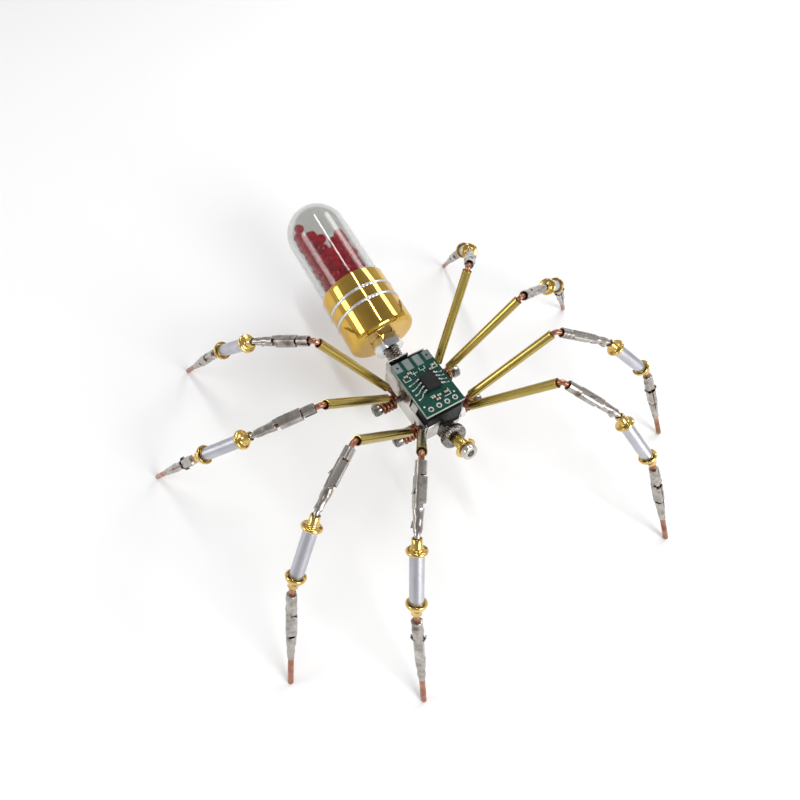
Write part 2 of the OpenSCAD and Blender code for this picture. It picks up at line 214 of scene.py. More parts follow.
def red_glass():
    """Red glass in deeper and brighter patches; a faint glow stands for the light scattered in it."""
    material, tree, shader = new_material("red_glass")
    patch = noise(tree, BEAD_PATCH, detail=2.0)
    colour = ramp(tree, patch.outputs["Fac"], [
        (0.3, (0.25, 0.001, 0.012)), (0.5, (0.62, 0.003, 0.030)), (0.68, (0.90, 0.010, 0.045))])
    tree.links.new(colour.outputs["Color"], shader.inputs["Base Color"])
    shader.inputs["Transmission Weight"].default_value = 0.2
    shader.inputs["IOR"].default_value = 1.5
    shader.inputs["Emission Color"].default_value = (0.55, 0.0, 0.02, 1.0)
    shader.inputs["Emission Strength"].default_value = 0.16
    gloss = grey_range(tree, patch.outputs["Fac"], 0.04, 0.2)
    tree.links.new(gloss.outputs["Result"], shader.inputs["Roughness"])
    return material


MAT = {
    "tube": metal("tube_brass", [(0.25, (0.40, 0.30, 0.075)), (0.6, (0.45, 0.345, 0.10)),
                                 (0.8, (0.49, 0.385, 0.13))], (0.20, 0.25), bump_strength=0.005),
    "eyelet": metal("eyelet_brass", [(0.3, (0.50, 0.32, 0.08)), (0.6, (0.78, 0.56, 0.20))],
                    (0.10, 0.22)),
    "gold": metal("cap_gold", [(0.3, (0.60, 0.36, 0.065)), (0.7, (0.72, 0.46, 0.10))], (0.04, 0.09),
                  bump_strength=0.01),
    "silver": metal("ring_silver", [(0.3, (0.62, 0.61, 0.59)), (0.7, (0.82, 0.81, 0.79))],
                    (0.24, 0.40)),
    "tin": metal("dull_tin", [(0.3, (0.15, 0.18, 0.18)), (0.7, (0.26, 0.29, 0.29))], (0.35, 0.5)),
    "nickel": metal("sheet_nickel", [(0.3, (0.42, 0.40, 0.37)), (0.7, (0.68, 0.66, 0.63))],
                    (0.16, 0.34)),
    "terminal": metal("terminal_nickel", [(0.28, (0.17, 0.145, 0.12)), (0.44, (0.36, 0.33, 0.30)),
                                          (0.7, (0.52, 0.495, 0.465))], (0.20, 0.38), blotch=420.0,
                      bump_strength=0.2),
    "chrome": metal("plated_steel", [(0.3, (0.60, 0.60, 0.60)), (0.7, (0.82, 0.82, 0.82))],
                    (0.06, 0.16)),
    "steel": metal("dark_steel", [(0.3, (0.12, 0.11, 0.10)), (0.7, (0.42, 0.40, 0.38))], (0.16, 0.34),
                   blotch=500.0),
    "aluminium": metal("satin_aluminium", [(0.3, (0.46, 0.46, 0.50)), (0.7, (0.58, 0.58, 0.62))],
                       (0.34, 0.44), bump_strength=0.2),
    "copper": metal("bare_copper", [(0.3, (0.22, 0.09, 0.05)), (0.55, (0.42, 0.19, 0.12)),
                                    (0.75, (0.62, 0.34, 0.24))], (0.22, 0.40), blotch=320.0),
    "dark_copper": metal("aged_copper", [(0.3, (0.10, 0.035, 0.02)), (0.55, (0.24, 0.095, 0.05)),
                                         (0.75, (0.50, 0.24, 0.13))], (0.20, 0.40), blotch=500.0),
    "print": plastic("white_print", [(0.3, (0.72, 0.74, 0.72)), (0.7, (0.86, 0.87, 0.85))],
                     (0.5, 0.7)),
    "black": plastic("black_resin", [(0.3, (0.006, 0.006, 0.007)), (0.7, (0.018, 0.018, 0.02))],
                     (0.42, 0.6), bump_strength=0.5, shine=0.2),
    "tan": plastic("tan_ceramic", [(0.3, (0.26, 0.17, 0.10)), (0.7, (0.40, 0.28, 0.18))],
                   (0.3, 0.5)),
    "glass": clear("clear_glass", (0.64, 0.64, 0.62), (0.0, 0.02), 1.46),
    "red": red_glass(),
}


# ---- mesh helpers

# An edge bent by more than this is rounded
BEVEL_FROM = math.radians(35)
# A point of an outline nearer to its axis than this, in millimetres, lies on it
TINY = 1e-6


def finish_piece(mesh_builder, name, material, bodies, replaces=(), smooth=30.0, bevel=0.0,
                 blend_ends=None):
    """Turns a bmesh, in millimetres, into a piece that rides on its body, or, given blend_ends, one
    baked in place and tied to no body.
    """
    mesh = bpy.data.meshes.new(name)
    bmesh.ops.recalc_face_normals(mesh_builder, faces=mesh_builder.faces)
    bmesh.ops.scale(mesh_builder, vec=(MM, MM, MM), verts=mesh_builder.verts)
    mesh_builder.to_mesh(mesh)
    mesh_builder.free()
    for polygon in mesh.polygons:
        polygon.use_smooth = True
    mesh.set_sharp_from_angle(angle=math.radians(smooth))
    piece = bpy.data.objects.new(name, mesh)
    bpy.context.scene.collection.objects.link(piece)
    mesh.materials.append(MAT[material])
    if bevel:
        edge = piece.modifiers.new("edge", "BEVEL")
        edge.width = bevel * MM
        edge.segments = 2
        edge.limit_method = "ANGLE"
        edge.angle_limit = BEVEL_FROM
    if blend_ends:
        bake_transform(piece)
    else:
        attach(piece, bodies)
    if replaces:
        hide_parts(*replaces)
    return piece


def aimed(point, direction, roll=0.0):
    """A matrix, in millimetres, whose Z runs along a direction; X lies level unless it is rolled."""
    z = Vector(direction).normalized()
    x = z.cross(Vector((0, 0, 1)))
    x = Vector((1, 0, 0)) if x.length < 1e-4 else x.normalized()
    y = z.cross(x)
    basis = Matrix((x, y, z)).transposed().to_4x4()
    return Matrix.Translation(point) @ basis @ Matrix.Rotation(roll, 4, "Z")


def lathe(builder, place, outline, sides=ROUND, closed=True, shape=None):
    """Turns an outline of (radius, height) points about Z.

    shape(angle, height, radius) gives the radius at an angle, where the piece isn't round.
    """
    rings = []
    for r, z in outline:
        if r < TINY:
            rings.append([builder.verts.new(place @ Vector((0, 0, z)))])
            continue
        ring = []
        for i in range(sides):
            a = 2 * math.pi * i / sides
            reach = shape(a, z, r) if shape else r
            spot = Vector((reach * math.cos(a), reach * math.sin(a), z))
            ring.append(builder.verts.new(place @ spot))
        rings.append(ring)
    pairs = list(zip(rings, rings[1:]))
    if closed:
        pairs.append((rings[-1], rings[0]))
    for low, high in pairs:
        if len(low) == 1 and len(high) == 1:
            continue
        for i in range(sides):
            j = (i + 1) % sides
            if len(low) == 1:
                builder.faces.new((low[0], high[i], high[j]))
            elif len(high) == 1:
                builder.faces.new((low[i], low[j], high[0]))
            else:
                builder.faces.new((low[i], low[j], high[j], high[i]))


def block(builder, place, low, high):
    """A box between two corners."""
    corners = [builder.verts.new(place @ Vector((x, y, z)))
               for x in (low[0], high[0]) for y in (low[1], high[1]) for z in (low[2], high[2])]
    sides = ((0, 1, 3, 2), (4, 6, 7, 5), (0, 4, 5, 1), (2, 3, 7, 6), (0, 2, 6, 4), (1, 5, 7, 3))
    for a, b, c, d in sides:
        builder.faces.new((corners[a], corners[b], corners[c], corners[d]))


def prism(builder, place, outline, z0, z1, top_scale=1.0):
    """A closed outline of (x, y) points pulled along Z, and drawn in or out towards its top."""
    low = [builder.verts.new(place @ Vector((x, y, z0))) for x, y in outline]
    high = [builder.verts.new(place @ Vector((x * top_scale, y * top_scale, z1))) for x, y in outline]
    n = len(outline)
    for i in range(n):
        j = (i + 1) % n
        builder.faces.new((low[i], low[j], high[j], high[i]))
    builder.faces.new(list(reversed(low)))
    builder.faces.new(high)


def arc_outline(r_out, r_in, start, end, steps=14):
    """The outline of a C-shaped wall: an arc of sheet from one angle to another, in degrees."""
    angles = [math.radians(start + (end - start) * i / steps) for i in range(steps + 1)]
    outside = [(r_out * math.cos(a), r_out * math.sin(a)) for a in angles]
    inside = [(r_in * math.cos(a), r_in * math.sin(a)) for a in reversed(angles)]
    return outside + inside


def sweep(builder, points, radius, sides=14):
    """A round tube along a line of points, with domed ends."""
    path = [Vector(p) for p in points]
    tangents = []
    for i, p in enumerate(path):
        a = path[max(i - 1, 0)]
        b = path[min(i + 1, len(path) - 1)]
        tangents.append((b - a).normalized())
    side = tangents[0].orthogonal().normalized()
    rings = []

    def add_ring(centre, tangent, r):
        nonlocal side
        side = (side - tangent * side.dot(tangent)).normalized()
        up = tangent.cross(side)
        rings.append([builder.verts.new(centre + r * (math.cos(t) * side + math.sin(t) * up))
                      for t in (2 * math.pi * k / sides for k in range(sides))])

    dome = [math.radians(a) for a in (80, 60, 40, 20)]
    for a in dome:
        add_ring(path[0] - tangents[0] * radius * math.sin(a), tangents[0], radius * math.cos(a))
    for p, t in zip(path, tangents):
        add_ring(p, t, radius)
    for a in reversed(dome):
        add_ring(path[-1] + tangents[-1] * radius * math.sin(a), tangents[-1], radius * math.cos(a))
    for low, high in zip(rings, rings[1:]):
        for i in range(sides):
            j = (i + 1) % sides
            builder.faces.new((low[i], low[j], high[j], high[i]))
    builder.faces.new(list(reversed(rings[0])))
    builder.faces.new(rings[-1])


def bend_between(corner, before, after, reach_in, reach_out, radius):
    """Points along one straight run, round a corner, and along the next."""
    steps = 8
    a = Vector(before).normalized()
    b = Vector(after).normalized()
    first = Vector(corner) - a * radius
    last = Vector(corner) + b * radius
    points = [Vector(corner) - a * (radius + reach_in * (1 - i / 3)) for i in range(3)]
    for i in range(steps + 1):
        t = i / steps
        points.append((1 - t) ** 2 * first + 2 * t * (1 - t) * Vector(corner) + t ** 2 * last)
    points += [Vector(corner) + b * (radius + reach_out * (i + 1) / 3) for i in range(3)]
    return points


def box_outline(width, height, sheet, start, end, steps=40):
    """The outline of a strip of sheet folded round a box with soft corners, between two angles."""
    # the higher the power, the sharper the corners
    power = 5.0

    def reach(a, w, h):
        return (abs(math.cos(a) / w) ** power + abs(math.sin(a) / h) ** power) ** (-1 / power)

    angles = [math.radians(start + (end - start) * i / steps) for i in range(steps + 1)]
    outline = []
    for trim, row in ((0.0, angles), (sheet, list(reversed(angles)))):
        for a in row:
            r = reach(a, width / 2 - trim, height / 2 - trim)
            outline.append((r * math.cos(a), r * math.sin(a)))
    return outline


def crimp(builder, place, r0, r1, z0, z1, seed, groove=0.34):
    """A wire barrel squeezed shut: two curled wings meet in a groove, dented by the tool."""
    phase = random.Random(seed).uniform(0, 6)
    seam_width = 0.3
    dent_depth = 0.07
    wrinkle_depth = 0.035

    def shape(a, z, r):
        off = (a - math.pi / 2 + math.pi) % (2 * math.pi) - math.pi
        seam = groove * math.exp(-(off / seam_width) ** 2)
        dent = dent_depth * math.sin(2.1 * z + phase) * math.cos(2 * a)
        wrinkle = wrinkle_depth * math.sin(7 * a + 4.3 * z + phase) * math.sin(3.1 * z)
        return r * (1 - seam + dent + wrinkle)

    ring_gap = 0.25
    lip = 0.08
    lip_share = 0.86
    steps = max(6, int((z1 - z0) / ring_gap))
    outline = [(0, z0), (r0 * lip_share, z0)]
    for i in range(steps + 1):
        t = i / steps
        outline.append((r0 + (r1 - r0) * t, z0 + lip + (z1 - z0 - 2 * lip) * t))
    outline += [(r1 * lip_share, z1), (0, z1)]
    lathe(builder, place, outline, sides=44, closed=False, shape=shape)


def thread(builder, place, r, pitch, depth, z0, z1, sides=28):
    """A rod with a real helical thread and coned ends."""
    cone = 0.12
    rings_a_turn = 5

    def shape(a, z, base):
        if base < r:
            return base
        turn = (z / pitch - a / (2 * math.pi)) % 1.0
        return r - depth * abs(2 * turn - 1)

    steps = int((z1 - z0) / pitch * rings_a_turn)
    outline = [(0, z0), (r - depth - cone, z0)]
    outline += [(r, z0 + cone + (z1 - z0 - 2 * cone) * i / steps) for i in range(steps + 1)]
    outline += [(r - depth - cone, z1), (0, z1)]
    lathe(builder, place, outline, sides=sides, closed=False, shape=shape)


def hex_nut(builder, place, flats, bore, z0, z1, chamfer=0.35):
    """A hexagon nut with turned corners."""
    def shape(a, z, r):
        if r < flats / 2:
            return r
        corner = (flats / 2) / math.cos(a % (math.pi / 3) - math.pi / 6)
        return min(corner, r)

    crown = flats / 2 / math.cos(math.pi / 6)
    face = flats / 2 * 1.01
    lead_in = 0.15
    outline = [(bore, z0 + lead_in), (bore + lead_in, z0), (face, z0), (crown, z0 + chamfer),
               (crown, z1 - chamfer), (face, z1), (bore + lead_in, z1), (bore, z1 - lead_in)]
    lathe(builder, place, outline, sides=48, shape=shape)


def curve_between(start, start_way, end, end_way, pull):
    """Points along a smooth curve that leaves and arrives in given directions."""
    steps = 8
    a = Vector(start)
    d = Vector(end)
    b = a + Vector(start_way).normalized() * pull
    c = d - Vector(end_way).normalized() * pull
    points = []
    for i in range(steps + 1):
        t = i / steps
        u = 1 - t
        points.append(u ** 3 * a + 3 * u * u * t * b + 3 * u * t * t * c + t ** 3 * d)
    return points


# ---- places, from the frame

# Sizes that the CAD shares, in millimetres
WIRE_R = 0.7
HIP_GAP = 0.8
KNEE_GAP = 1.2
ANKLE_GAP = 0.5
SPACER_FROM = 3.9
SPACER_TO = 15.4
NUT_T = 4.0
STUD_R = 2.4
STUD_Z = 18.2
STUD_L = 10.7
GLASS_DEPTH = 6.0
HEAD_Z = 17.2
SLIP = 0.05


def box_mm(node):
    """A node's lowest and highest corners, in millimetres."""
    low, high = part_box(node)
    return low / MM, high / MM


def joint_point(name):
    """A hinge's pivot, in millimetres."""
    return Vector(JOINTS[name]["pos_m"]) / MM


def leg_points(leg):
    """Hip, knee, ankle and heel, and the middle of the foot's round tip."""
    points = [joint_point(f"{kind}_{leg}") for kind in ("hip", "knee", "ankle", "heel")]
    foot = frame["nodes"]["foot_terminal_" + leg].data.vertices
    lowest = min((v.co for v in foot), key=lambda co: co.z) / MM
    return points + [lowest + Vector((0, 0, WIRE_R))]


SHELL_LOW, SHELL_HIGH = box_mm("thorax_shell")
BOARD_LOW, BOARD_HIGH = box_mm("circuit_board")
RODS_LOW, RODS_HIGH = box_mm("cross_rods")
ROD_R = (RODS_HIGH.z - RODS_LOW.z) / 2
ROD_Z = (RODS_HIGH.z + RODS_LOW.z) / 2
ROD_X = {"front": RODS_HIGH.x - ROD_R, "rear": RODS_LOW.x + ROD_R}
MIDDLE_X = (BOARD_LOW.x + BOARD_HIGH.x) / 2
ABDOMEN_TILT = math.radians(10)
ABDOMEN = aimed((SHELL_LOW.x, 0, STUD_Z), (-math.cos(ABDOMEN_TILT), 0, math.sin(ABDOMEN_TILT)))
HEAD_TILT = math.radians(18)
HEAD = aimed((SHELL_HIGH.x, 0, HEAD_Z), (math.cos(HEAD_TILT), 0, math.sin(HEAD_TILT)))


# ---- legs

def make_femur(leg, hip, knee):
    """A drawn brass tube with a burr round its sawn mouths."""
    place = aimed(hip, knee - hip)
    z0 = HIP_GAP
    z1 = (knee - hip).length - KNEE_GAP
    outline = [(0.9, z0 + 0.15), (0.98, z0), (1.1, z0), (1.2, z0 + 0.12), (1.2, z0 + 0.5),
               (1.2, z1 - 0.8), (1.2, z1 - 0.35), (1.235, z1 - 0.1), (1.21, z1), (1.0, z1),
               (0.9, z1 - 0.15)]
    builder = bmesh.new()
    lathe(builder, place, outline)
    finish_piece(builder, "femur_" + leg, "tube", "femur_" + leg, ["femur_tube_" + leg], smooth=40)


SHEET = 0.25
CORE_FROM = 1.6


def make_tibia(leg, knee, ankle, roll, seed):
    """A crimp terminal: round collar, folded channel, wings crimped on the wire, a torn-off flag."""
    place = aimed(knee, ankle - knee, roll)
    builder = bmesh.new()
    collar = arc_outline(1.3, 1.06, 98, 442, steps=30)
    prism(builder, place, collar, 1.7, 4.6)
    prism(builder, place, arc_outline(1.28, 1.06, 205, 335), 4.5, 5.1)
    prism(builder, place, box_outline(2.4, 2.65, SHEET, 6, 354), 5.0, 10.5)
    prism(builder, place, box_outline(2.3, 2.5, SHEET, 160, 330, 20), 10.4, 11.7)
    crimp(builder, place, 1.22, 0.95, 11.4, 16.5, seed)
    tab = place @ Matrix.Translation((0.9, -0.35, 14.1)) @ Matrix.Rotation(math.radians(24), 4, "Y")
    block(builder, tab, (-0.1, -0.55, 0), (0.18, 0.55, 1.5))
    lance = place @ Matrix.Translation((0, -1.25, 7.4)) @ Matrix.Rotation(math.radians(16), 4, "X")
    block(builder, lance, (-0.4, -0.1, 0), (0.4, 0.1, 1.5))
    finish_piece(builder, "tibia_" + leg, "terminal", "tibia_" + leg, ["tibia_terminal_" + leg],
                 smooth=38, bevel=0.06)
    core = bmesh.new()
    sweep(core, [place @ Vector((0, 0, z)) for z in (CORE_FROM, 6.0, 11.0, 16.0)], WIRE_R)
    finish_piece(core, "tibia_wire_" + leg, "dark_copper", "tibia_" + leg)


def make_shank(leg, ankle, heel):
    """A satin spacer between two brass eyelets."""
    place = aimed(ankle, heel - ankle)
    body = "shank_" + leg
    end = (heel - ankle).length - ANKLE_GAP
    bore = 1.15
    skin = 1.6
    edge = 0.12
    builder = bmesh.new()
    lathe(builder, place, [(bore, SPACER_FROM), (skin - edge, SPACER_FROM), (skin, SPACER_FROM + edge),
                           (skin, SPACER_TO - edge), (skin - edge, SPACER_TO), (bore, SPACER_TO)])
    finish_piece(builder, "shank_spacer_" + leg, "aluminium", body, ["spacer_" + leg], smooth=30)
    builder = bmesh.new()
    lathe(builder, place, [
        (0.85, 0.55), (1.02, 0.5), (1.15, 0.62), (1.15, 2.35), (1.2, 2.6), (1.36, 2.82), (1.7, 2.9),
        (2.1, 2.92), (2.28, 3.02), (2.38, 3.22), (2.38, 3.5), (2.28, 3.72), (2.08, 3.84), (1.7, 3.88),
        (0.85, 3.88)])
    bowl = [(0.9, end), (1.1, end), (1.2, end - 0.15), (1.2, end - 0.5), (1.32, end - 0.85),
            (1.62, end - 1.3), (2.0, end - 1.75), (2.26, end - 2.15), (2.38, end - 2.5),
            (2.36, end - 2.8), (2.22, end - 2.92), (2.05, end - 2.85), (1.98, end - 2.6),
            (1.66, end - 2.5), (0.9, end - 2.5)]
    lathe(builder, place, bowl)
    finish_piece(builder, "shank_eyelets_" + leg, "eyelet", body, ["eyelets_" + leg], smooth=55)


def make_foot(leg, heel, tip, roll, seed):
    """A second terminal crimped on the wire, whose bare copper end is the toe."""
    place = aimed(heel, tip - heel, roll)
    length = (tip - heel).length
    body = "foot_" + leg
    builder = bmesh.new()
    crimp(builder, place, 1.22, 1.3, 1.4, 7.0, seed, groove=0.26)
    prism(builder, place, box_outline(2.2, 2.45, SHEET, 150, 390, 28), 6.8, 8.0)
    prism(builder, place, box_outline(2.2, 2.5, SHEET, 96, 444), 7.9, 13.4)
    prism(builder, place, box_outline(2.1, 2.4, SHEET, 215, 325, 16), 13.3, 14.1)
    prism(builder, place, arc_outline(1.2, 0.97, 95, 445, steps=30), 14.0, 16.9, top_scale=0.93)
    crimp(builder, place, 1.0, 0.86, 16.6, 21.4, seed + 1, groove=0.2)
    for side in (-1, 1):
        barb = (place @ Matrix.Translation((side * 1.0, 0.2, 8.2))
                @ Matrix.Rotation(side * math.radians(-26), 4, "Y"))
        block(builder, barb, (-0.12, -0.5, -1.5), (0.12, 0.5, 0))
    finish_piece(builder, "foot_" + leg, "terminal", body, ["foot_terminal_" + leg], smooth=38,
                 bevel=0.06)
    toe = bmesh.new()
    line = [place @ Vector((0, 0, z)) for z in (CORE_FROM, 8.0, 16.0, 22.0, length)]
    sweep(toe, line, WIRE_R, sides=20)
    finish_piece(toe, "foot_wire_" + leg, "copper", body, smooth=60)


def make_bend(name, corner, before, after, reach_in, reach_out, bodies, radius=0.9,
              material="copper"):
    """Wire bent at a joint, from inside one piece into the next."""
    points = bend_between(corner, before, after, reach_in, reach_out, radius)
    builder = bmesh.new()
    sweep(builder, points, WIRE_R - 0.02, sides=18)
    start = (Vector(corner) - before.normalized() * radius) * MM
    end = (Vector(corner) + after.normalized() * radius) * MM
    finish_piece(builder, name, material, bodies, smooth=60, blend_ends=(start, end))


for number, leg in enumerate(LEGS):
    hip, knee, ankle, heel, tip = leg_points(leg)
    # each terminal is rolled by its own amount, so that no two legs look the same
    tibia_turn = math.radians(20 + 12 * number)
    foot_turn = math.radians(184 + 50 * number)
    make_femur(leg, hip, knee)
    make_tibia(leg, knee, ankle, tibia_turn, seed=20 + number)
    make_shank(leg, ankle, heel)
    make_foot(leg, heel, tip, foot_turn, seed=60 + 2 * number)
    make_bend("knee_wire_" + leg, knee, knee - hip, ankle - knee, 1.6, 1.8,
              ("femur_" + leg, "tibia_" + leg))
    make_bend("ankle_wire_" + leg, ankle, ankle - knee, heel - ankle, 1.2, 0.9,
              ("tibia_" + leg, "shank_" + leg), radius=0.6, material="terminal")
    make_bend("heel_wire_" + leg, heel, heel - ankle, tip - heel, 0.9, 1.2,
              ("shank_" + leg, "foot_" + leg), radius=0.6)


# ---- rods, nuts and coils

def rod_place(x, side):
    """Z runs out along a cross rod, to one side, from the middle of the thorax."""
    return aimed((x, 0, ROD_Z), (0, side, 0))


COIL_WIRE_R = 0.52
COIL_R = ROD_R + COIL_WIRE_R + 0.08
COIL_PITCH = 1.06
# Where a coil starts, out along its rod, and its turns
LEFT_COIL = (8.3, 3)
RIGHT_COIL = (7.2, 4)


def make_coil(name, x, side, first, turns, hips):
    """Wire wound round a rod; its two ends lead up to the hips of two legs."""
    steps = 24
    points = []
    for i in range(turns * steps + 1):
        a = math.pi / 2 - side * 2 * math.pi * i / steps
        y = side * (first + COIL_PITCH * i / steps)
        points.append(Vector((x + COIL_R * math.cos(a), y, ROD_Z + COIL_R * math.sin(a))))
    inner, outer = sorted(hips, key=lambda leg: abs(leg_points(leg)[0].y))
    ways = {}
    for leg, end, following in ((inner, 0, points[1]), (outer, -1, points[-2])):
        hip, knee = leg_points(leg)[:2]
        leaving = points[end] - following
        arriving = (knee - hip).normalized() + (hip - points[end]).normalized()
        lead = curve_between(points[end], leaving, hip - arriving.normalized() * 0.5, arriving, 1.0)
        ways[leg] = arriving
        if end == 0:
            points = list(reversed(lead[1:])) + points
        else:
            points = points + lead[1:]
    builder = bmesh.new()
    sweep(builder, points, COIL_WIRE_R, sides=14)
    finish_piece(builder, name, "dark_copper", BODY, ["hip_wires"], smooth=60)
    for leg in hips:
        hip, knee = leg_points(leg)[:2]
        make_bend("hip_wire_" + leg, hip, ways[leg], knee - hip, 0.3, 1.4, (BODY, "femur_" + leg),
                  radius=0.5)


END_NUT_IN = 2.4


def make_rods():
    """Threaded cross rods, hexagon nuts on the left, and socket-ended nuts on their ends."""
    rods = bmesh.new()
    nuts = bmesh.new()
    ends = bmesh.new()
    reach = RODS_HIGH.y
    for x in ROD_X.values():
        thread(rods, rod_place(x, 1), ROD_R, 0.4, 0.14, -reach, reach)
        hex_nut(nuts, rod_place(x, 1), 5.0, ROD_R + SLIP, 6.05, 7.6)
        for side in (-1, 1):
            z0 = reach - END_NUT_IN
            lathe(ends, rod_place(x, side), [
                (ROD_R + SLIP, z0), (1.5, z0), (1.75, z0 + 0.25), (1.75, z0 + 1.85), (1.55, z0 + 2.1),
                (1.2, z0 + 2.1), (1.2, z0 + 1.7), (ROD_R + SLIP, z0 + 1.7)])
    finish_piece(rods, "threaded_rods", "steel", BODY, ["cross_rods"], smooth=50)
    finish_piece(nuts, "hex_nuts", "chrome", BODY, ["rod_nuts"], smooth=25)
    finish_piece(ends, "end_nuts", "steel", BODY, ["rod_nuts"], smooth=40)


make_rods()
for place_name, x, legs in (("front", ROD_X["front"], "12"), ("rear", ROD_X["rear"], "34")):
    make_coil("coil_" + place_name + "_left", x, 1, *LEFT_COIL, ["l" + n for n in legs])
    make_coil("coil_" + place_name + "_right", x, -1, *RIGHT_COIL, ["r" + n for n in legs])


# ---- abdomen

CAP_R = 10.2
CAP_FROM = STUD_L
CAP_TO = STUD_L + 18.6
RING_Z = [CAP_FROM + 9.2, CAP_FROM + 13.2]
GLASS_R = 9.45
GLASS_T = 1.6
GLASS_FROM = CAP_TO - GLASS_DEPTH
DOME_Z = GLASS_FROM + 27.6
BEAD_R = 1.42
HEAP_DIP = math.radians(268)
HEAP_PEAK = math.radians(190)


def quarter(r_mid, z_mid, r, start, end, steps=7):
    """Points along an arc of an outline."""
    angles = [math.radians(start + (end - start) * i / steps) for i in range(steps + 1)]
    return [(r_mid + r * math.cos(a), z_mid + r * math.sin(a)) for a in angles]


def make_cap():
    """A turned and gilded cup with a soft foot, two grooves and a rolled rim."""
    foot = 1.6
    groove = 0.3
    outline = [(STUD_R + 0.1, CAP_FROM)] + quarter(CAP_R - foot, CAP_FROM + foot, foot, -90, 0)
    rim = 0.3
    for z in RING_Z:
        outline += [(CAP_R, z - 0.55), (CAP_R - groove, z - 0.5), (CAP_R - groove, z + 0.5),
                    (CAP_R, z + 0.55)]
    outline += quarter(CAP_R - rim, CAP_TO - rim, rim, 0, 90, 4)
    outline += [(GLASS_R + 0.1, CAP_TO), (GLASS_R + SLIP, CAP_TO - 0.2), (GLASS_R + SLIP, GLASS_FROM),
                (STUD_R + 0.1, GLASS_FROM)]
    builder = bmesh.new()
    lathe(builder, ABDOMEN, outline, sides=128)
    finish_piece(builder, "gilded_cap", "gold", BODY, ["abdomen_cap"], smooth=24)


def make_cap_rings():
    """Two silver bands, cut with slanting facets."""
    cuts = 56

    def shape(a, z, r):
        return r + (0.07 * math.sin(cuts * a + 9 * z) if r > CAP_R - 0.2 else 0.0)

    builder = bmesh.new()
    low = CAP_R - 0.28
    for z in RING_Z:
        lathe(builder, ABDOMEN, [
            (low, z - 0.45), (CAP_R, z - 0.45), (CAP_R + 0.12, z - 0.22), (CAP_R + 0.14, z),
            (CAP_R + 0.12, z + 0.22), (CAP_R, z + 0.45), (low, z + 0.45)], sides=cuts * 6, shape=shape)
    finish_piece(builder, "cap_bands", "silver", BODY, ["cap_rings"], smooth=40)


def make_dome():
    """A thick blown dome: outer skin, round rim, and the inner skin that shows through it."""
    inner = GLASS_R - GLASS_T
    foot = GLASS_FROM + 0.35
    outline = [(GLASS_R - 0.3, GLASS_FROM + SLIP)]
    outline += [(GLASS_R, foot + (DOME_Z - foot) * i / 9) for i in range(9)]
    outline += quarter(0, DOME_Z, GLASS_R, 0, 90, 20)[:-1] + [(0, DOME_Z + GLASS_R)]
    skin = [(0, DOME_Z + inner)] + quarter(0, DOME_Z, inner, 90, 0, 20)[1:]
    skin += [(inner, foot + (DOME_Z - foot) * i / 9) for i in range(8, -1, -1)]
    skin += [(inner + 0.3, GLASS_FROM + SLIP)]
    builder = bmesh.new()
    lathe(builder, ABDOMEN, outline + skin, sides=96)
    finish_piece(builder, "dome", "glass", BODY, ["glass_dome"], smooth=30)


def make_beads():
    """Faceted red beads, settled in rings; the top of the heap dips between two clumps."""
    rng = random.Random(7)
    builder = bmesh.new()
    rows = 13
    step = 1.78 * BEAD_R
    inside = GLASS_R - GLASS_T - BEAD_R - 0.2
    rings = ((inside, 13, 10.1), (inside - 1.9 * BEAD_R, 7, 9.6), (inside - 3.8 * BEAD_R, 2, 8.0))
    for row in range(rows):
        for radius, count, top in rings:
            for i in range(count):
                a = (i + 0.5 * (row % 2)) * 2 * math.pi / count + rng.uniform(-0.08, 0.08)
                dip = 3.4 * max(0.0, math.cos(a - HEAP_DIP)) ** 5
                tall = top + 1.3 * math.cos(a - HEAP_PEAK) - dip + rng.uniform(-0.5, 0.5)
                if row > tall:
                    continue
                z = GLASS_FROM + BEAD_R + 0.3 + row * step + rng.uniform(-0.2, 0.2)
                r = max(0.0, radius + rng.uniform(-0.5, 0.0))
                tip = Matrix.Rotation(rng.uniform(0, 3.1), 4, Vector((rng.random(), rng.random(), 1)))
                spot = ABDOMEN @ Matrix.Translation((r * math.cos(a), r * math.sin(a), z)) @ tip
                bmesh.ops.create_icosphere(builder, subdivisions=2, radius=BEAD_R, matrix=spot)
    finish_piece(builder, "red_beads", "red", BODY, ["beads"], smooth=12)


def make_stud():
    """The threaded stud that holds the abdomen, and its plated nut."""
    builder = bmesh.new()
    thread(builder, ABDOMEN, STUD_R, 0.8, 0.42, -0.4, CAP_FROM + 1.0, sides=40)
    finish_piece(builder, "stud", "steel", BODY, ["abdomen_stud"], smooth=50)
    builder = bmesh.new()
    hex_nut(builder, ABDOMEN, 8.0, STUD_R + SLIP, STUD_L - NUT_T, STUD_L - SLIP, chamfer=0.55)
    finish_piece(builder, "stud_nut", "chrome", BODY, ["abdomen_nut"], smooth=25)


make_stud()
make_cap()
make_cap_rings()
make_dome()
make_beads()


# ---- head

